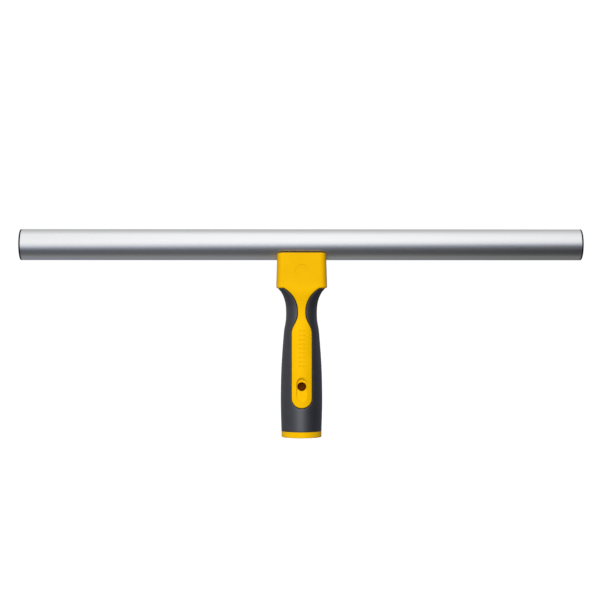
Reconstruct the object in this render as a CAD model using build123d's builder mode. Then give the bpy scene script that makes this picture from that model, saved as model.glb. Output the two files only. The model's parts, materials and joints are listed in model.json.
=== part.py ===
# Window washer bar: a capped aluminium tube held in the saddle of a two-colour moulded handle.
# Millimetres. Origin at the centre of the pole socket's mouth, +Z up the handle to the tube,
# +X along the tube, the front of the handle towards -Y.
import os
from math import acos, cos, degrees, pi, sin

from build123d import *

os.makedirs("parts", exist_ok=True)

# ---- the tube and its end caps ----
tube_length = 450.0
tube_diameter = 25.0
tube_wall = 1.25
tube_deburr = 0.2
tube_height = 155.0  # the tube's axis above the foot of the handle
cap_rim = 1.2  # thickness of a cap's flange at its edge
cap_dome = 0.5  # how far the flange bulges past its edge
cap_edge = 0.8  # rounding of the flange's outer edge
cap_plug_length = 15.0
cap_plug_wall = 1.6
cap_plug_clearance = 0.7  # per side, between the plug and the tube
cap_rib_clearance = 0.05  # per side, between the plug's ribs and the tube
cap_rib_run = 1.8  # length of a rib along the plug
cap_rib_count = 4

# ---- the grip ----
collar_height = 4.8
collar_radius = 16.15
collar_edge = 0.7
grip_top = 119.8  # underside of the saddle block
grip_thickness = 1.9
grip_sections = 18
# height, half width, half depth and superellipse power of the grip's outside, and on into the block
grip_stations = [
    (collar_height, 16.2, 16.2, 2.0),
    (28.0, 16.75, 16.8, 2.0),
    (50.0, 16.45, 16.6, 2.0),
    (66.0, 15.65, 15.9, 2.0),
    (78.0, 14.75, 15.05, 2.05),
    (86.0, 14.05, 14.25, 2.1),
    (90.5, 13.25, 13.75, 2.2),
    (95.0, 12.6, 13.35, 2.3),
    (100.0, 12.45, 13.25, 2.4),
    (105.0, 12.65, 13.6, 2.6),
    (109.5, 13.4, 14.3, 2.95),
    (113.5, 14.75, 15.0, 3.6),
    (117.0, 16.6, 15.5, 4.8),
    (grip_top, 18.8, 15.7, 6.0),
    (125.0, 19.6, 15.3, 7.0),
]
form_top = 124.0

# ---- the spine, seen from the front ----
waist_half = 3.0
waist_top = 101.6
waist_foot = 99.6
shoulder_width = 21.2  # a shoulder is most of a quarter ellipse, between the block and the waist
shoulder_rise = 20.8
panel_half = 8.0
panel_top = 83.0
panel_end = 24.1  # lowest point of the panel's round end
spine_proud = 0.5  # how far the hard spine stands above the soft grip
spine_gap = 0.5  # groove between the spine and the grip
spine_edge = 0.7
bar_start = 30.0  # distance of a spine bar's outer face from the handle's axis
bar_reach = 31.0
bar_top = 123.0

# ---- the saddle block ----
block_top = 148.5
block_foot_size = (40.8, 32.4)
block_top_size = (39.2, 28.0)
block_corner = 5.0
block_edge = 2.0  # rounding of its top edges
block_foot_edge = 1.5
badge_radius = 5.0  # a plain round recess in the front of the block
badge_height = 134.0
badge_depth = 0.3
badge_clear = 1.0  # how far in front of the block the recess's cutter starts
cradle_clearance = 0.1
cradle_reach = 30.0
lip_width = 0.9  # a V-shaped relief between the tube and the lips of the cradle
lip_depth = 2.2
pocket_size = (34.0, 20.6)
pocket_corner = 2.0
pocket_floor = 123.8
rib_width = 2.2
rib_pitch = 20.0
boss_radius = 8.0

# ---- the pole socket and the pole lock ----
socket_radius = 12.0
socket_straight = 48.0
tip_radius = 10.0  # the socket's narrower upper end, for the pole's tip
tip_top = 80.0
access_radius = 7.0
access_top = 112.0
lock_hole_radius = 3.6
lock_hole_height = 41.3
scoop_size = (19.2, 9.5)  # height, width
scoop_top = 48.6
scoop_depth = (2.5, 0.35)  # at its top and at its foot
scoop_draft = 42  # slope of its walls, in degrees
scoop_edge = 0.4
notch_size = (4.4, 1.0)  # a column of short grooves for the thumb, above the scoop
notch_depth = 0.3
notch_count = 9
notch_middle = 71.5
notch_pitch = 3.5
panel_face = 17.1  # distance of the panel's surface from the handle's axis beside the scoop

# ---- the M6 fixing ----
bolt_hole_radius = 3.3
bolt_radius = 3.0
bolt_length = 40.0
bolt_tip = 0.8
head_radius = 5.0
head_height = 6.0
head_edge = 0.5
key_radius = 2.887  # over the corners of the hexagon for a 5 mm key
key_depth = 3.2
washer_radius = 6.0
spring_radius = 5.55
washer_hole_radius = 3.2
washer_thickness = 1.6
spring_slit = 1.0
nut_length = 12.0
nut_radius = 4.5
nut_bore_radius = 3.05
nut_flange_radius = 5.6
nut_flange_thickness = 0.9
nut_bulge_radius = 5.8
nut_bulge_length = 1.0
nut_bulge_slope = 0.5
nut_clearance = 0.15

tube_radius = tube_diameter / 2
tube_bore = tube_radius - tube_wall
tube_underside = tube_height - tube_radius
tube_axis = Axis((0, 0, tube_height), (1, 0, 0))
tube_section = Plane(origin=(0, 0, tube_height), x_dir=(0, 1, 0), z_dir=(1, 0, 0))
cap_section = Plane(origin=(tube_length / 2, 0, tube_height), x_dir=(1, 0, 0), z_dir=(0, -1, 0))
panel_centre = panel_end + panel_half
front_plane = Plane.XZ.offset(bar_start)
block_rise = block_top - grip_top
block_lean = (block_foot_size[1] - block_top_size[1]) / 2  # how far the block's front leans back
badge_share = (badge_height - grip_top) / block_rise
badge_face = Plane(
    origin=(0, badge_share * block_lean - block_foot_size[1] / 2, badge_height),
    x_dir=(1, 0, 0),
    z_dir=(0, -block_rise, block_lean),
)
cradle_radius = tube_radius + cradle_clearance
lip_top = block_top - tube_height  # the lips' heights are measured from the tube's axis
lip_foot = lip_top - lip_depth
lip_top_half = (cradle_radius**2 - lip_top**2) ** 0.5 + lip_width
lip_foot_half = (cradle_radius**2 - lip_foot**2) ** 0.5
nut_foot = tube_underside - nut_flange_thickness
spring_top = access_top - washer_thickness
head_top = spring_top - washer_thickness
dome_radius = (tube_radius**2 + cap_dome**2) / (2 * cap_dome)
nut_bulge_foot = tube_height - (tube_bore**2 - nut_bulge_radius**2) ** 0.5 + nut_clearance


def section_at(height):
    """Half width, half depth and power of the grip's outside, gliding from station to station."""
    last = len(grip_stations) - 2
    k = max(i for i in range(last + 1) if grip_stations[i][0] <= height)
    before = grip_stations[max(k - 1, 0)]
    low = grip_stations[k]
    high = grip_stations[k + 1]
    after = grip_stations[min(k + 2, last + 1)]
    step = high[0] - low[0]
    t = (height - low[0]) / step
    values = []
    for i in (1, 2, 3):
        slope_low = (high[i] - before[i]) / (high[0] - before[0]) * step
        slope_high = (after[i] - low[i]) / (after[0] - low[0]) * step
        rise = high[i] - low[i]
        bend_low = slope_low - rise
        bend_high = rise - slope_high
        values.append(low[i] + t * rise + t * (1 - t) * (bend_low * (1 - t) + bend_high * t))
    return values


def superellipse(half_width, half_depth, power, count=28):
    """Points of |x/a|^n + |y/b|^n = 1, evenly spaced in direction."""
    points = []
    for i in range(count):
        c = cos(2 * pi * i / count)
        s = sin(2 * pi * i / count)
        reach = (abs(c / half_width) ** power + abs(s / half_depth) ** power) ** (-1 / power)
        points.append((reach * c, reach * s))
    return points


def handle_form(grow, top):
    """The grip's outside from the collar up to a height, grown by a distance that may be negative."""
    rise = (top - collar_height) / grip_sections
    with BuildPart() as form:
        for i in range(grip_sections + 1):
            height = collar_height + i * rise
            half_width, half_depth, power = section_at(height)
            with BuildSketch(Plane.XY.offset(height)):
                with BuildLine():
                    Spline(*superellipse(half_width + grow, half_depth + grow, power), periodic=True)
                make_face()
        loft()
    return form.part


def spine_bar(gap):
    """A bar with the spine's outline, seen from the front, grown by a gap: shoulders, waist and panel."""
    waist = waist_half + gap
    panel = panel_half + gap
    rise = shoulder_rise - gap
    lean = degrees(acos(min(1, (grip_top - waist_top) / rise)))  # where the shoulder meets the block
    with BuildPart() as bar:
        with BuildSketch(front_plane):
            with BuildLine():
                shoulder = EllipticalCenterArc(
                    (waist_half + shoulder_width, waist_top),
                    x_radius=shoulder_width - gap,
                    y_radius=rise,
                    start_angle=90 + lean,
                    arc_size=90 - lean,
                )
                Line((waist, waist_top), (waist, waist_foot))
                Spline((waist, waist_foot), (panel, panel_top), tangents=((0, -1), (0, -1)))
                Line((panel, panel_top), (panel, panel_centre))
                CenterArc((0, panel_centre), panel, 0, -90)
                Polyline(
                    (0, panel_centre - panel),
                    (0, bar_top),
                    ((shoulder @ 0).X, bar_top),
                    shoulder @ 0,
                )
            make_face()
            mirror(about=Plane.YZ)
        extrude(amount=-bar_reach)
    return bar.part


def in_front(edge):
    """True for an edge of the spine's face that isn't buried in the saddle block."""
    return min((edge @ 0).Z, (edge @ 1).Z) < grip_top - 0.01


grip_form = handle_form(0, grip_top)
core_form = handle_form(-grip_thickness, grip_top)
proud_form = handle_form(spine_proud, form_top)
groove_bar = spine_bar(spine_gap)

# ---- the tube: both ends deburred, one hole underneath for the rivet nut ----
with BuildPart() as cross_tube:
    with BuildSketch(tube_section.offset(-tube_length / 2)):
        Circle(tube_radius)
        Circle(tube_bore, mode=Mode.SUBTRACT)
    extrude(amount=tube_length)
    chamfer(cross_tube.edges().filter_by(GeomType.CIRCLE), tube_deburr)
    with BuildSketch(Plane.XY.offset(tube_underside - 1)):
        Circle(nut_radius + nut_clearance)
    extrude(amount=tube_radius, mode=Mode.SUBTRACT)
cross_tube.part.label = "cross_tube"
export_step(cross_tube.part, "parts/cross_tube.step")

# ---- an end cap: a domed flange with a hollow, ribbed plug ----
plug_radius = tube_bore - cap_plug_clearance
plug_bore = plug_radius - cap_plug_wall
rib_radius = tube_bore - cap_rib_clearance
cap_rib_step = (cap_plug_length - cap_rib_run) / cap_rib_count
cap_points = [(-cap_plug_length, plug_bore), (0, plug_bore), (0, 0), (cap_rim + cap_dome, 0)]
plug_points = [(cap_rim, tube_radius), (0, tube_radius), (0, plug_radius)]
for i in range(cap_rib_count):
    root = -(i + 0.5) * cap_rib_step
    plug_points += [(root, plug_radius), (root, rib_radius), (root - cap_rib_run, plug_radius)]
plug_points += [(-cap_plug_length, plug_radius - cap_rib_run / 2), (-cap_plug_length, plug_bore)]
with BuildPart() as end_cap_right:
    with BuildSketch(cap_section):
        with BuildLine():
            Polyline(*cap_points)
            RadiusArc(cap_points[-1], plug_points[0], dome_radius)
            Polyline(*plug_points)
        make_face()
    revolve(axis=tube_axis)
    fillet(end_cap_right.edges().filter_by(lambda edge: edge.is_closed).sort_by(Axis.X)[-1], cap_edge)
end_cap_right.part.label = "end_cap_right"
export_step(end_cap_right.part, "parts/end_cap_right.step")

with BuildPart() as end_cap_left:
    mirror(end_cap_right.part, about=Plane.YZ)
end_cap_left.part.label = "end_cap_left"
export_step(end_cap_left.part, "parts/end_cap_left.step")

# ---- the spine: the hard strip down the front of the grip, and the same down its back ----
with BuildPart() as spine:
    add(spine_bar(0))
    add(proud_form, mode=Mode.INTERSECT)
    spine_face = spine.faces().filter_by(GeomType.BSPLINE).sort_by(Axis.Y)[0]
    fillet(spine_face.edges().filter_by(in_front), spine_edge)

# ---- the scoop round the pole-lock hole: drafted walls, deep at its top, running out at its foot ----
with BuildPart() as scoop:
    with BuildSketch(Plane.XZ.offset(panel_face)) as scoop_outline:
        with Locations((0, scoop_top - scoop_size[0] / 2)):
            SlotOverall(*scoop_size, rotation=90)
    extrude(amount=bar_start - panel_face)
    extrude(scoop_outline.sketch, amount=-scoop_depth[0], taper=scoop_draft)
    with BuildSketch(Plane.YZ.offset(-scoop_size[1])):
        with BuildLine():
            Polyline(
                (-bar_start, scoop_top),
                (scoop_depth[0] - panel_face, scoop_top),
                (scoop_depth[1] - panel_face, scoop_top - scoop_size[0]),
                (-bar_start, scoop_top - scoop_size[0]),
                close=True,
            )
        make_face()
    extrude(amount=2 * scoop_size[1], mode=Mode.INTERSECT)
    fillet(scoop.faces().sort_by(Axis.Y)[-1].edges(), scoop_edge)

# ---- the column of short grooves in the spine, all cut to one depth under its crowned face ----
with BuildPart() as notches:
    with BuildSketch(front_plane):
        with Locations((0, notch_middle)):
            with GridLocations(0, notch_pitch, 1, notch_count):
                SlotOverall(*notch_size)
    extrude(amount=-bar_reach)
    add(handle_form(spine_proud - notch_depth, form_top), mode=Mode.SUBTRACT)
    add(notches.solids().filter_by(lambda solid: solid.center().Y < 0), mode=Mode.REPLACE)

# ---- the saddle block, drafted and rounded, before the cradle is cut ----
with BuildPart() as saddle_block:
    with BuildSketch(Plane.XY.offset(grip_top)):
        RectangleRounded(*block_foot_size, block_corner)
    with BuildSketch(Plane.XY.offset(block_top)):
        RectangleRounded(*block_top_size, block_corner)
    loft()
    fillet(saddle_block.edges().group_by(Axis.Z)[-1], block_edge)
    fillet(saddle_block.edges().group_by(Axis.Z)[0], block_foot_edge)

# ---- the handle's hard core: collar, core, both spines and the saddle block, with the pole socket ----
with BuildPart() as handle_core:
    add(spine.part)
    mirror(about=Plane.XZ)
    add(core_form)
    with BuildSketch(Plane.XY):
        Circle(collar_radius)
    extrude(amount=collar_height)
    fillet(handle_core.edges().group_by(Axis.Z)[0], collar_edge)
    add(saddle_block.part)
    # the cradle for the tube, relieved at its two lips
    with BuildSketch(tube_section.offset(-cradle_reach)):
        Circle(cradle_radius)
        with BuildLine():
            Polyline(
                (lip_top_half, 0),
                (lip_top_half, lip_top),
                (lip_foot_half, lip_foot),
                (-lip_foot_half, lip_foot),
                (-lip_top_half, lip_top),
                (-lip_top_half, 0),
                close=True,
            )
        make_face()
    extrude(amount=2 * cradle_reach, mode=Mode.SUBTRACT)
    # pockets under the tube, round the bolt's boss and its ribs
    with BuildSketch(Plane.XY.offset(pocket_floor)):
        RectangleRounded(*pocket_size, pocket_corner)
        Circle(boss_radius, mode=Mode.SUBTRACT)
        Rectangle(pocket_size[0], rib_width, mode=Mode.SUBTRACT)
        with GridLocations(rib_pitch, 0, 2, 1):
            Rectangle(rib_width, pocket_size[1], mode=Mode.SUBTRACT)
    extrude(amount=tube_radius * 2, mode=Mode.SUBTRACT)
    # a recess for the rivet nut's flange
    with BuildSketch(Plane.XY.offset(nut_foot - nut_clearance)):
        Circle(nut_flange_radius + nut_clearance)
    extrude(amount=tube_radius, mode=Mode.SUBTRACT)
    # the pole socket, its narrower end, the way up to the bolt and the bolt's hole
    with BuildSketch(Plane.XZ):
        with BuildLine():
            Polyline(
                (0, 0),
                (socket_radius, 0),
                (socket_radius, socket_straight),
                (tip_radius, socket_straight),
                (tip_radius, tip_top),
                (access_radius, tip_top),
                (access_radius, access_top),
                (bolt_hole_radius, access_top),
                (bolt_hole_radius, tube_underside),
                (0, tube_underside),
                close=True,
            )
        make_face()
    revolve(axis=Axis.Z, mode=Mode.SUBTRACT)
    # the scoop and the pole-lock hole
    add(scoop.part, mode=Mode.SUBTRACT)
    with BuildSketch(front_plane):
        with Locations((0, lock_hole_height)):
            Circle(lock_hole_radius)
    extrude(amount=socket_radius / 2 - bar_start, mode=Mode.SUBTRACT)
    # the round recess in the block and the column of grooves in the spine
    with BuildSketch(badge_face.offset(badge_clear)):
        Circle(badge_radius)
    extrude(amount=-badge_clear - badge_depth, mode=Mode.SUBTRACT)
    add(notches.part, mode=Mode.SUBTRACT)
handle_core.part.label = "handle_core"
export_step(handle_core.part, "parts/handle_core.step")

# ---- the soft grip, moulded over the core and open for both spines ----
with BuildPart() as soft_grip:
    add(grip_form)
    add(core_form, mode=Mode.SUBTRACT)
    add(groove_bar, mode=Mode.SUBTRACT)
    add(mirror(groove_bar, about=Plane.XZ, mode=Mode.PRIVATE), mode=Mode.SUBTRACT)
soft_grip.part.label = "soft_grip"
export_step(soft_grip.part, "parts/soft_grip.step")

# ---- the M6 socket-head bolt, its washers and the rivet nut in the tube ----
with BuildPart() as fixing_bolt:
    with BuildSketch(Plane.XY.offset(head_top - head_height)):
        Circle(head_radius)
    extrude(amount=head_height)
    fillet(fixing_bolt.edges().group_by(Axis.Z)[0], head_edge)
    with BuildSketch(Plane.XY.offset(head_top)):
        Circle(bolt_radius)
    extrude(amount=bolt_length)
    chamfer(fixing_bolt.edges().group_by(Axis.Z)[-1], bolt_tip)
    with BuildSketch(Plane.XY.offset(head_top - head_height)):
        RegularPolygon(key_radius, 6)
    extrude(amount=key_depth, mode=Mode.SUBTRACT)
fixing_bolt.part.label = "fixing_bolt"
export_step(fixing_bolt.part, "parts/fixing_bolt.step")

with BuildPart() as flat_washer:
    with BuildSketch(Plane.XY.offset(spring_top)):
        Circle(washer_radius)
        Circle(washer_hole_radius, mode=Mode.SUBTRACT)
    extrude(amount=washer_thickness)
flat_washer.part.label = "flat_washer"
export_step(flat_washer.part, "parts/flat_washer.step")

with BuildPart() as spring_washer:
    with BuildSketch(Plane.XY.offset(head_top)):
        Circle(spring_radius)
        Circle(washer_hole_radius, mode=Mode.SUBTRACT)
        with Locations((spring_radius, 0)):
            Rectangle(2 * spring_radius, spring_slit, mode=Mode.SUBTRACT)
    extrude(amount=washer_thickness)
spring_washer.part.label = "spring_washer"
export_step(spring_washer.part, "parts/spring_washer.step")

with BuildPart() as rivet_nut:
    with BuildSketch(Plane.XZ):
        with BuildLine():
            Polyline(
                (nut_bore_radius, nut_foot),
                (nut_flange_radius, nut_foot),
                (nut_flange_radius, tube_underside),
                (nut_radius, tube_underside),
                (nut_radius, nut_bulge_foot - nut_bulge_slope),
                (nut_bulge_radius, nut_bulge_foot),
                (nut_bulge_radius, nut_bulge_foot + nut_bulge_length),
                (nut_radius, nut_bulge_foot + nut_bulge_length + nut_bulge_slope),
                (nut_radius, nut_foot + nut_length),
                (nut_bore_radius, nut_foot + nut_length),
                close=True,
            )
        make_face()
    revolve(axis=Axis.Z)
rivet_nut.part.label = "rivet_nut"
export_step(rivet_nut.part, "parts/rivet_nut.step")
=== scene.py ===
import json
import math
import bmesh
import bpy
import numpy as np
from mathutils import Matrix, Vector


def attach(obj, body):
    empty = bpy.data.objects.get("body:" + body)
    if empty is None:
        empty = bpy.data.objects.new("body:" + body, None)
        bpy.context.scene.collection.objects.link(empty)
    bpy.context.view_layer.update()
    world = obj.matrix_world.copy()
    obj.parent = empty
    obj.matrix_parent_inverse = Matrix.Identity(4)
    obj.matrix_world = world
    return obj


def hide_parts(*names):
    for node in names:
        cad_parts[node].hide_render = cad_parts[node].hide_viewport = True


# a window washer bar: capped tube, yellow saddle and spine, soft grey grip
# lengths are in metres, apart from the grip's own, which are in mm

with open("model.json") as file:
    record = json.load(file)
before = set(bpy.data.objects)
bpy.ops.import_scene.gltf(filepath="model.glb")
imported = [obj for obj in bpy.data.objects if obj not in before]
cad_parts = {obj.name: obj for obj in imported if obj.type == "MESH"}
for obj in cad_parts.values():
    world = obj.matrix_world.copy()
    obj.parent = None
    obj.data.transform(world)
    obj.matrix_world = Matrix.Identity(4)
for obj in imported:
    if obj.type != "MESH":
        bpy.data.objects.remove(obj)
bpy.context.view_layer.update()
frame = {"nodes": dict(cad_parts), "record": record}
print("frame loaded:", len(frame["nodes"]), "nodes")

mm = 0.001


class Wire:
    # one socket of a node tree; sums on wires add Math nodes
    def __init__(self, tree, socket=None):
        self.tree = tree
        self.socket = socket

    def node(self, kind, settings=None, inputs=None, output=0):
        made = self.tree.nodes.new(kind)
        for name, value in (settings or {}).items():
            if name == "stops":
                for k, (place, shade) in enumerate(value):
                    stop = made.color_ramp.elements[k] if k < 2 else made.color_ramp.elements.new(place)
                    stop.position = place
                    stop.color = shade
            else:
                setattr(made, name, value)
        for name, value in (inputs or {}).items():
            if isinstance(value, Wire):
                self.tree.links.new(value.socket, made.inputs[name])
            else:
                made.inputs[name].default_value = value
        return Wire(self.tree, made.outputs[output])

    def math(self, operation, first, second):
        return self.node("ShaderNodeMath", {"operation": operation}, {0: first, 1: second})

    def __add__(self, other):
        return self.math("ADD", self, other)

    def __sub__(self, other):
        return self.math("SUBTRACT", self, other)

    def __rsub__(self, other):
        return self.math("SUBTRACT", other, self)

    def __mul__(self, other):
        return self.math("MULTIPLY", self, other)

    __radd__ = __add__
    __rmul__ = __mul__

    def ease(self, low, high):
        # 0 below low, 1 above high, smooth between
        return self.node("ShaderNodeMapRange", {"interpolation_type": "SMOOTHSTEP"},
                         {"Value": self, "From Min": low, "From Max": high})

    def tint(self, first, second):
        # from the first colour to the second as this wire goes from 0 to 1
        return self.node("ShaderNodeMix", {"data_type": "RGBA"}, {0: self, 6: first, 7: second}, 2)


def startMaterial(name):
    material = bpy.data.materials.new(name)
    material.use_nodes = True
    material.node_tree.nodes.clear()
    root = Wire(material.node_tree)
    place = root.node("ShaderNodeTexCoord", output="Object")
    return material, root, place


def finishMaterial(root, sockets):
    shader = root.node("ShaderNodeBsdfPrincipled", {}, sockets, "BSDF")
    out = root.tree.nodes.new("ShaderNodeOutputMaterial")
    root.tree.links.new(shader.socket, out.inputs["Surface"])


def cloud(root, place, scale, detail=3.0, roughness=0.5):
    # soft noise from 0 to 1, scale in features per metre
    return root.node("ShaderNodeTexNoise", {}, {"Vector": place, "Scale": scale, "Detail": detail,
                                                "Roughness": roughness}, "Fac")


def stretched(root, place, scale):
    return root.node("ShaderNodeMapping", {}, {"Vector": place, "Scale": scale}, "Vector")


def bump(root, height, strength, distance):
    return root.node("ShaderNodeBump", {}, {"Height": height, "Strength": strength, "Distance": distance},
                     "Normal")


def nooks(root, reach, shut, clear):
    # how open a surface is, used for painted shade: 0 deep in a crevice narrower than the reach, 1 on open
    # faces
    openness = root.node("ShaderNodeAmbientOcclusion", {"samples": 12}, {"Distance": reach}, "AO")
    return openness.ease(shut, clear)


def squares(span):
    # a span of distances, to set against a squared distance
    return span[0]**2, span[1]**2


aluminium = {
    "dark": (0.82, 0.828, 0.84, 1),
    "light": (0.95, 0.955, 0.96, 1),
    "fineLines": (8, 2600, 2600),  # per metre, drawn out along the tube
    "broadLines": (5, 260, 260),
    "mist": 60,
    "roughness": 0.27,
}


def satinAluminium():
    material, root, place = startMaterial("satin_aluminium_paint")
    lines = cloud(root, stretched(root, place, aluminium["fineLines"]), 1.0, 2.0)
    broad = cloud(root, stretched(root, place, aluminium["broadLines"]), 1.0, 2.0)
    mist = cloud(root, place, aluminium["mist"], 3.0)
    shade = (lines * 0.5 + broad * 0.3 + mist * 0.2).tint(aluminium["dark"], aluminium["light"])
    finishMaterial(root, {
        "Base Color": shade,
        "Metallic": 1.0,
        "Roughness": aluminium["roughness"] + lines * 0.08 + mist * 0.03,
        "Normal": bump(root, lines * 0.7 + broad * 0.3, 0.22, 0.00004),
    })
    return material


yellow = {
    "dark": (0.80, 0.432, 0.0006, 1),
    "light": (0.845, 0.468, 0.0014, 1),
    "grain": 4200,                   # spark-eroded mould surface, features per metre
    "flow": 55,
    # painted shade inside the pole socket
    "socket": (0.42, 0.085, 0.002, 1),
    "socketWall": (0.0122, 0.0128),  # distances over which one tone turns into the next
    "socketTop": (0.08, 0.082),
    # painted shade laid over the saddle block, most of all on its flanks
    "saddle": (0.30, 0.12, 0.0004, 1),
    "saddleFoot": (0.116, 0.126),
    "saddleFlank": (0.0160, 0.0202),
    "saddleShare": 0.13,             # how much of the saddle's painted shade is laid over the yellow
    "flankShare": 0.22,
    # painted shadow on the saddle's lips beside the tube
    "lip": (0.05, 0.022, 0.0006, 1),
    "lipFoot": (0.1479, 0.1484),
    "lipEdge": (0.0122, 0.0130),
    # painted shade in crevices
    "creviceShade": (0.020, 0.009, 0.0004, 1),
    "creviceReach": 0.003,
    "roughness": 0.42,
    "gloss": 0.2,
    "glossTint": (1.0, 0.72, 0.06, 1),
}


def yellowPlastic():
    material, root, place = startMaterial("yellow_plastic_paint")
    grain = cloud(root, place, yellow["grain"], 2.0, 0.6)
    flow = cloud(root, place, yellow["flow"], 3.0)
    shade = (flow * 0.7 + grain * 0.3).ease(0.3, 0.7).tint(yellow["dark"], yellow["light"])
    x, y, z = [root.node("ShaderNodeSeparateXYZ", {}, {0: place}, k) for k in range(3)]
    socketShade = (1 - (x * x + y * y).ease(*squares(yellow["socketWall"]))) * (1 - z.ease(*yellow["socketTop"]))
    shade = socketShade.tint(shade, yellow["socket"])  # painted shade: a deep orange inside the pole socket
    # painted shade: the saddle block goes darker and more orange, most of all at its flanks
    saddle = z.ease(*yellow["saddleFoot"])
    flankShade = (x * x).ease(*squares(yellow["saddleFlank"]))
    shade = (saddle * (yellow["saddleShare"] + flankShade * yellow["flankShare"])).tint(shade, yellow["saddle"])
    lip = z.ease(*yellow["lipFoot"]) * (1 - (y * y).ease(*squares(yellow["lipEdge"])))
    shade = lip.tint(shade, yellow["lip"])  # painted shadow: the lips beside the tube, which the tube shades, are kept dark
    openFace = nooks(root, yellow["creviceReach"], 0.2, 0.72)
    finishMaterial(root, {
        "Base Color": openFace.tint(yellow["creviceShade"], shade),  # painted shade: dark in the groove and under the tube
        "Roughness": yellow["roughness"] + grain * 0.12 + flow * 0.04,
        "Specular IOR Level": yellow["gloss"],
        "Specular Tint": yellow["glossTint"],
        "Normal": bump(root, grain, 0.3, 0.00004),
    })
    return material


rubber = {
    "dark": (0.014, 0.014, 0.016, 1),
    "light": (0.021, 0.021, 0.024, 1),
    "grain": 3000,
    "bloom": 80,
    # painted shade in the rubber's crevices
    "creviceShade": (0.006, 0.0055, 0.006, 1),
    "creviceReach": 0.002,
    "roughness": 0.44,
    "gloss": 0.85,
    "glossTint": (0.88, 0.90, 1.0, 1),
}


def softRubber():
    material, root, place = startMaterial("soft_rubber_paint")
    grain = cloud(root, place, rubber["grain"], 3.0, 0.6)
    bloom = cloud(root, place, rubber["bloom"], 4.0)
    shade = (grain * 0.4 + bloom * 0.6).ease(0.3, 0.7).tint(rubber["dark"], rubber["light"])
    openFace = nooks(root, rubber["creviceReach"], 0.1, 0.6)
    finishMaterial(root, {
        # painted shade: the rubber is darker in crevices narrower than the reach
        "Base Color": openFace.tint(rubber["creviceShade"], shade),
        "Roughness": rubber["roughness"] + grain * 0.14,
        "Specular IOR Level": rubber["gloss"],
        "Specular Tint": rubber["glossTint"],
        "Normal": bump(root, grain, 0.4, 0.00006),
    })
    return material


black = {
    "dark": (0.003, 0.003, 0.0035, 1),
    "light": (0.007, 0.007, 0.0075, 1),
    "grain": 3500,
    "roughness": 0.4,
    "gloss": 0.2,
}


def blackPlastic():
    material, root, place = startMaterial("black_plastic_paint")
    grain = cloud(root, place, black["grain"], 2.0, 0.6)
    finishMaterial(root, {
        "Base Color": grain.tint(black["dark"], black["light"]),
        "Roughness": black["roughness"] + grain * 0.15,
        "Specular IOR Level": black["gloss"],
        "Normal": bump(root, grain, 0.3, 0.00004),
    })
    return material


plating = {
    "zincDark": (0.45, 0.47, 0.50, 1),
    "zincLight": (0.66, 0.68, 0.72, 1),
    "passiveDark": (0.52, 0.43, 0.22, 1),  # the rivet nut's yellow passivated zinc
    "passiveLight": (0.72, 0.62, 0.38, 1),
    "turning": (300, 300, 5000),           # tool marks round the bolt's axis
    "spangle": 900,
    "roughness": 0.26,
}


def platedSteel(name, dark, light):
    material, root, place = startMaterial(name)
    turned = cloud(root, stretched(root, place, plating["turning"]), 1.0, 2.0)
    spangle = cloud(root, place, plating["spangle"], 3.0)
    finishMaterial(root, {
        "Base Color": (turned * 0.4 + spangle * 0.6).tint(dark, light),
        "Metallic": 1.0,
        "Roughness": plating["roughness"] + turned * 0.1 + spangle * 0.08,
        "Normal": bump(root, turned * 0.6 + spangle * 0.4, 0.25, 0.00003),
    })
    return material


def meshFrom(name, sheets, weld=1e-6):
    # sheets are grids of points in mm, rows by columns by xyz; every grid cell becomes a face
    points, faces, start = [], [], 0
    for sheet in sheets:
        rows, columns = sheet.shape[:2]
        number = np.arange(rows * columns).reshape(rows, columns) + start
        corners = (number[:-1, :-1], number[:-1, 1:], number[1:, 1:], number[1:, :-1])
        faces.append(np.stack([corner.ravel() for corner in corners], axis=1))
        points.append(sheet.reshape(-1, 3))
        start += rows * columns
    mesh = bpy.data.meshes.new(name)
    mesh.from_pydata(np.concatenate(points) * mm, [], np.concatenate(faces))
    body = bmesh.new()
    body.from_mesh(mesh)
    bmesh.ops.remove_doubles(body, verts=body.verts, dist=weld)
    bmesh.ops.dissolve_degenerate(body, edges=body.edges, dist=weld)
    bmesh.ops.holes_fill(body, edges=[edge for edge in body.edges if edge.is_boundary], sides=0)
    bmesh.ops.recalc_face_normals(body, faces=body.faces)
    print(name, "faces:", len(body.faces), "open edges:", sum(not edge.is_manifold for edge in body.edges))
    body.to_mesh(mesh)
    body.free()
    mesh.shade_smooth()
    piece = bpy.data.objects.new(name, mesh)
    bpy.context.scene.collection.objects.link(piece)
    return piece


def setPiece(piece, node, slot):
    # stands for a node of the frame, in the same finish
    piece.data.materials.append(paints[slot])
    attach(piece, "root")
    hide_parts(node)


paints = {
    "satin_aluminium": satinAluminium(),
    "yellow_plastic": yellowPlastic(),
    "grey_soft_rubber": softRubber(),
    "black_plastic": blackPlastic(),
    "zinc_plated_steel": platedSteel("zinc_plate_paint", plating["zincDark"], plating["zincLight"]),
    "yellow_zinc_steel": platedSteel("yellow_zinc_paint", plating["passiveDark"], plating["passiveLight"]),
}
for row in frame["record"]["subparts"]:
    for slot in frame["nodes"][row["node"]].material_slots:
        slot.material = paints[row["material_slot"]]
print("materials on")

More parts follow.
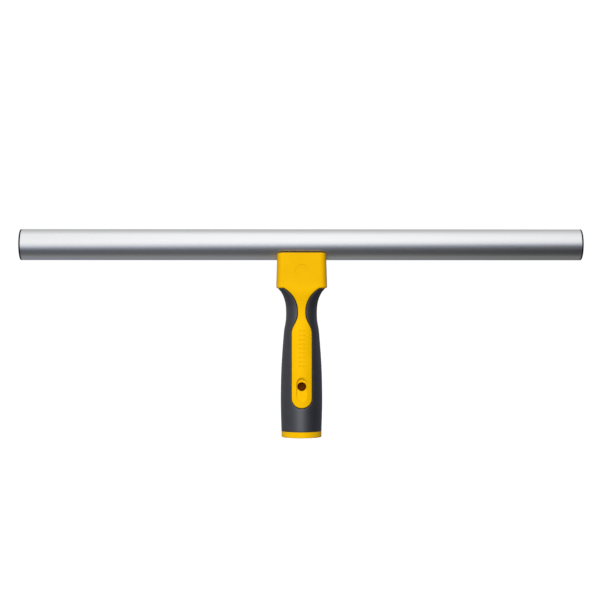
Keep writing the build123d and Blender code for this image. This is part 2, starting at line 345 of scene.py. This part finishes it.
# the soft grip: a skin round the hard core, open for the spine in front and behind
grip = {
    "foot": 4.8,            # all in mm, heights above the handle's foot
    "top": 119.8,
    "thick": 1.9,
    "lip": 0.5,             # rounding where the skin turns in to the groove
    "footRound": 0.4,
    "footMiddle": 1.1,      # how far in the middle row of the flat underside lies
    "waistHalf": 3.5,       # half width of the opening at the waist and at the panel
    "waistTop": 101.6,
    "waistFoot": 99.6,
    "panelHalf": 8.5,
    "panelTop": 83.0,
    "panelCentre": 32.1,
    "shoulderWide": 20.7,
    "shoulderTall": 20.3,
    "sag": 7.0,             # how far the rows of faces dip round the side, below the panel's end
    "sagRun": 18.0,
    "sagPower": 0.8,
    "rows": 140,
    "columns": 64,
    "ringRows": 14,
    "rollRows": 7,
    "wallRows": 3,
    "roundPoints": 40,
    "bendPoints": 60,
    # height, half width, half depth and squareness of the section
    "stations": [
        (4.8, 16.2, 16.2, 2.0), (28.0, 16.75, 16.8, 2.0), (50.0, 16.45, 16.6, 2.0),
        (66.0, 15.65, 15.9, 2.0), (78.0, 14.75, 15.05, 2.05), (86.0, 14.05, 14.25, 2.1),
        (90.5, 13.25, 13.75, 2.2), (95.0, 12.6, 13.35, 2.3), (100.0, 12.45, 13.25, 2.4),
        (105.0, 12.65, 13.6, 2.6), (109.5, 13.4, 14.3, 2.95), (113.5, 14.75, 15.0, 3.6),
        (117.0, 16.6, 15.5, 4.8), (119.8, 18.8, 15.7, 6.0), (125.0, 19.6, 15.3, 7.0),
    ],
}


def sectionAt(height):
    # half width, half depth and squareness, gliding from station to station by a cubic
    stations = np.array(grip["stations"])
    last = len(stations) - 2
    k = np.clip(np.searchsorted(stations[:, 0], height, side="right") - 1, 0, last)
    before, low = stations[np.maximum(k - 1, 0)], stations[k]
    high, after = stations[k + 1], stations[np.minimum(k + 2, last + 1)]
    step = high[..., :1] - low[..., :1]
    t = (height[..., None] - low[..., :1]) / step
    rise = high - low
    bendLow = (high - before) / (high[..., :1] - before[..., :1]) * step - rise
    bendHigh = rise - (after - low) / (after[..., :1] - low[..., :1]) * step
    glide = low + t * rise + t * (1 - t) * (bendLow * (1 - t) + bendHigh * t)
    return glide[..., 1], glide[..., 2], glide[..., 3]


def skinRound(angle, height, grow):
    # a point of |x/a|^n + |y/b|^n = 1 in the direction of an angle, with a and b grown
    a, b, n = sectionAt(height)
    c, s = np.cos(angle), np.sin(angle)
    reach = (np.abs(c / (a + grow)) ** n + np.abs(s / (b + grow)) ** n) ** (-1 / n)
    return np.stack([reach * c, reach * s, height + 0 * reach], axis=-1)


def skinAngle(x, height, grow):
    # direction, from +X, of the front point that lies at x
    a, b, n = sectionAt(height)
    depth = (b + grow) * np.maximum(1 - np.abs(x / (a + grow)) ** n, 0) ** (1 / n)
    return -np.arctan2(depth, x)


def openingPath(count):
    # right edge of the opening, going up: quarter circle, line, S-curve, line, part of an ellipse
    turn = np.linspace(0, math.pi / 2, grip["roundPoints"])
    wide, tall, slim = grip["panelHalf"], grip["panelTop"], grip["waistHalf"]
    roundEnd = np.stack([wide * np.sin(turn), grip["panelCentre"] - wide * np.cos(turn)], axis=1)
    t = np.linspace(0, 1, grip["bendPoints"])[:, None]
    start, stop = np.array([wide, tall]), np.array([slim, grip["waistFoot"]])
    pull = np.array([0, np.hypot(*(stop - start))])
    bend = ((2 * t**3 - 3 * t**2 + 1) * start + (t**3 - 2 * t**2 + t) * pull
            + (3 * t**2 - 2 * t**3) * stop + (t**3 - t**2) * pull)
    climb = (grip["top"] + grip["lip"] - grip["waistTop"]) / grip["shoulderTall"]
    lift = np.linspace(0, math.asin(min(1, climb)), grip["bendPoints"])
    shoulder = np.stack([slim + grip["shoulderWide"] * (1 - np.cos(lift)),
                         grip["waistTop"] + grip["shoulderTall"] * np.sin(lift)], axis=1)
    path = np.concatenate([roundEnd, bend, shoulder])
    run = np.concatenate([[0], np.cumsum(np.hypot(*np.diff(path, axis=0).T))])
    keep = np.concatenate([[True], np.diff(run) > 1e-9])
    even = np.linspace(0, run[-1], count)
    x, z = np.interp(even, run[keep], path[keep, 0]), np.interp(even, run[keep], path[keep, 1])
    tangent = np.gradient(np.stack([x, z], axis=1), axis=0)
    tangent[0] = (1, 0)
    tangent /= np.hypot(*tangent.T)[:, None]
    return even, x, z, tangent[:, 1], -tangent[:, 0]


def makeGrip():
    run, x, z, aside, below = openingPath(grip["rows"])
    u = np.linspace(0, 1, grip["columns"])
    dip = np.sin(math.pi * u) ** grip["sagPower"]
    sag = grip["sag"] * np.exp(-run / grip["sagRun"])

    def halfSkin(inset, grow):
        # rows start on the opening's edge, run round the side and end on the edge behind
        edgeX = np.maximum(x + inset * aside, 0)
        edgeZ = np.minimum(z + inset * below, grip["top"])
        angle = skinAngle(edgeX, edgeZ, grow)
        angle[0] = -math.pi / 2
        height = edgeZ[:, None] - sag[:, None] * dip
        return skinRound(angle[:, None] * (1 - 2 * u), height, grow), edgeX, edgeZ

    def ring(top, lowest, grow):
        # straight rows from the foot up to the dipped first row of the skin above
        share = np.linspace(0, 1, grip["ringRows"])[:, None]
        height = lowest + (top[0, :, 2] - lowest) * share
        return skinRound(-math.pi / 2 * (1 - 2 * u) + 0 * height, height, grow)

    outer, outerX, outerZ = halfSkin(grip["lip"], 0)
    inner, innerX, innerZ = halfSkin(0, -grip["thick"])

    # the lip: a quarter round and a wall, carried along the opening's edge
    roll = np.linspace(0, math.pi / 2, grip["rollRows"])
    inset = np.concatenate([grip["lip"] * (1 - np.sin(roll)), np.zeros(grip["wallRows"])])
    wall = np.linspace(-grip["lip"], -grip["thick"], grip["wallRows"] + 1)[1:]
    grow = np.concatenate([grip["lip"] * (np.cos(roll) - 1), wall])
    lipX = np.maximum(x[:, None] + inset * aside[:, None], 0)
    lipZ = np.minimum(z[:, None] + inset * below[:, None], grip["top"])
    lipAngle = skinAngle(lipX, lipZ, grow + 0 * lipX)
    lipAngle[0] = -math.pi / 2
    lipFront = skinRound(lipAngle, lipZ, grow)
    lipBack = skinRound(-lipAngle, lipZ, grow)

    # the foot: wall, flat underside and rounded edge of the lower ring
    flat = np.array([grip["thick"], grip["footMiddle"], grip["footRound"]])
    footHeight = grip["foot"] + np.concatenate([0 * flat, grip["footRound"] * (1 - np.cos(roll[1:]))])
    footGrow = np.concatenate([-flat, grip["footRound"] * (np.sin(roll[1:]) - 1)])
    around = -math.pi / 2 * (1 - 2 * u)
    foot = skinRound(around + 0 * footHeight[:, None], footHeight[:, None] + 0 * u, footGrow[:, None])

    cap = np.stack([outer[-1], inner[-1]])
    half = [outer, inner, lipFront, lipBack, cap, foot,
            ring(outer, grip["foot"] + grip["footRound"], 0), ring(inner, grip["foot"], -grip["thick"])]
    return meshFrom("soft_grip_skin", half + [sheet * (-1, 1, 1) for sheet in half])


setPiece(makeGrip(), "soft_grip", "grey_soft_rubber")
print("grip made")

studio = {
    "floorSize": 30,
    "floorDrop": 0.36,       # below the handle's foot
    "floorGlow": 0.5,
    "cameraHeight": 0.1104,
    "cameraAside": -0.0012,
    "cameraTurn": -0.8,      # degrees round the handle, to its left
    "cameraAway": 1.25,
    "lens": 92.9,            # mm, over the sensor's width in mm
    "sensor": 36,
    "nearest": 0.01,
    "farthest": 100,
    "backdrop": 1.02,
    "edgeLeft": -0.56,       # height of the dark field's edge in front, at its left and its right
    "edgeRight": 0.06,
    "rightShade": 0.75,      # how much darker the right side of the room is
    "leftShade": 0.3,
    "lowShade": 0.85,        # how much darker the dark field is at its right
    "sideFall": 0.28,        # how much the front wall fades to both sides
    "bluish": (0.86, 0.94, 1.16, 1),
}
# brightness of the room from straight down to straight up, in front of the tool and behind it
frontRoom = [(0.0, 0.27), (0.10, 0.13), (0.45, 0.14), (0.52, 0.62), (0.64, 1.16), (0.86, 1.32), (1.0, 1.16)]
backRoom = [(0.0, 0.27), (0.3, 0.27), (0.5, 0.52), (0.8, 0.46), (0.95, 0.60), (1.0, 0.74)]


def grey(level):
    return (level, level, level, 1)


bpy.ops.mesh.primitive_plane_add(size=studio["floorSize"], location=(0, 0, -studio["floorDrop"]))
floor = bpy.context.object
floor.name = "studio_floor"
floorPaint, root, place = startMaterial("pale_floor")
finishMaterial(root, {
    "Base Color": cloud(root, place, 3).tint(grey(0.93), grey(0.95)),
    "Roughness": 0.9,
    "Emission Color": (1, 1, 1, 1),
    "Emission Strength": studio["floorGlow"],
})
floor.data.materials.append(floorPaint)
floor.visible_glossy = False  # the tube mirrors the dark field below, not the floor
floor.visible_diffuse = False

world = bpy.data.worlds.new("studio_room")
bpy.context.scene.world = world
world.use_nodes = True
world.node_tree.nodes.clear()
room = Wire(world.node_tree)
way = room.node("ShaderNodeTexCoord", output="Generated")
across, ahead, up = [room.node("ShaderNodeSeparateXYZ", {}, {0: way}, k) for k in range(3)]
edge = across.ease(-0.3, 0.3) * (studio["edgeRight"] - studio["edgeLeft"]) + studio["edgeLeft"]
tall = (up - edge) * 0.5 + 0.5
front = room.node("ShaderNodeValToRGB", {"stops": [(place, grey(level)) for place, level in frontRoom]},
                  {"Fac": tall})
back = room.node("ShaderNodeValToRGB", {"stops": [(place, grey(level)) for place, level in backRoom]},
                 {"Fac": up * 0.5 + 0.5})
rightFade = across.ease(0.15, 0.9) * studio["rightShade"]
leftFade = (across * -1).ease(0.3, 0.9) * studio["leftShade"]
shaded = 1 - rightFade - leftFade - (across * across).ease(0, 0.04) * studio["sideFall"]
dimmed = 1 - across.ease(0, 0.22) * (1 - tall.ease(0.42, 0.56)) * studio["lowShade"]
walls = (ahead * 0.5 + 0.5).ease(0.35, 0.65).tint(front * shaded * dimmed, back * (dimmed * 0.5 + 0.5))
chill = tall.ease(0.2, 0.45) * (1 - tall.ease(0.54, 0.66))  # bluish where the dark field begins
walls = room.node("ShaderNodeMix", {"data_type": "RGBA", "blend_type": "MULTIPLY"},
                  {0: chill, 6: walls, 7: studio["bluish"]}, 2)
seen = room.node("ShaderNodeLightPath", output="Is Camera Ray").tint(walls, grey(studio["backdrop"]))
background = room.node("ShaderNodeBackground", {}, {"Color": seen})
out = room.tree.nodes.new("ShaderNodeOutputWorld")
room.tree.links.new(background.socket, out.inputs["Surface"])


softboxes = {
    "key_softbox": {"place": (-0.14, -1.38, 0.36), "aim": (0, 0, 0.09), "size": (0.6, 0.8), "watts": 10.2},
    "back_softbox": {"place": (-0.05, 1.36, 0.45), "aim": (0, 0, 0.09), "size": (0.6, 0.7), "watts": 8},
    "side_softbox": {"place": (1.55, -0.55, 0.45), "aim": (0, 0, 0.15), "size": (0.8, 1.4), "watts": 3.5},
}


def softbox(name):
    box = softboxes[name]
    lamp = bpy.data.lights.new(name, "AREA")
    lamp.shape = "RECTANGLE"
    lamp.size, lamp.size_y = box["size"]
    lamp.energy = box["watts"]
    lamp.spread = math.radians(150)
    holder = bpy.data.objects.new(name, lamp)
    holder.location = box["place"]
    beam = Vector(np.subtract(box["aim"], box["place"]))
    holder.rotation_euler = beam.to_track_quat("-Z", "Y").to_euler()
    bpy.context.scene.collection.objects.link(holder)
    return holder


def tubeGroup(name):
    group = bpy.data.collections.new(name)
    group.objects.link(frame["nodes"]["cross_tube"])
    return group


key = softbox("key_softbox")
fill = softbox("back_softbox")
fill.visible_glossy = False
# both are kept off the tube, which mirrors the even room
offTube = tubeGroup("off_the_tube")
offTube.collection_objects[0].light_linking.link_state = "EXCLUDE"
key.light_linking.receiver_collection = offTube
fill.light_linking.receiver_collection = offTube

# a softbox for the tube alone, far out to the right
panel = softbox("side_softbox")
panel.light_linking.receiver_collection = tubeGroup("on_the_tube")

eye = bpy.data.cameras.new("studio_camera")
eye.lens = studio["lens"]
eye.sensor_width = studio["sensor"]
eye.clip_start = studio["nearest"]
eye.clip_end = studio["farthest"]
camera = bpy.data.objects.new("studio_camera", eye)
turn = math.radians(studio["cameraTurn"])
camera.location = (studio["cameraAside"] * math.cos(turn) + studio["cameraAway"] * math.sin(turn),
                   studio["cameraAside"] * math.sin(turn) - studio["cameraAway"] * math.cos(turn),
                   studio["cameraHeight"])
camera.rotation_euler = (math.radians(90), 0, turn)
bpy.context.scene.collection.objects.link(camera)
bpy.context.scene.camera = camera
bpy.context.scene.view_settings.view_transform = "Standard"
print("studio set")
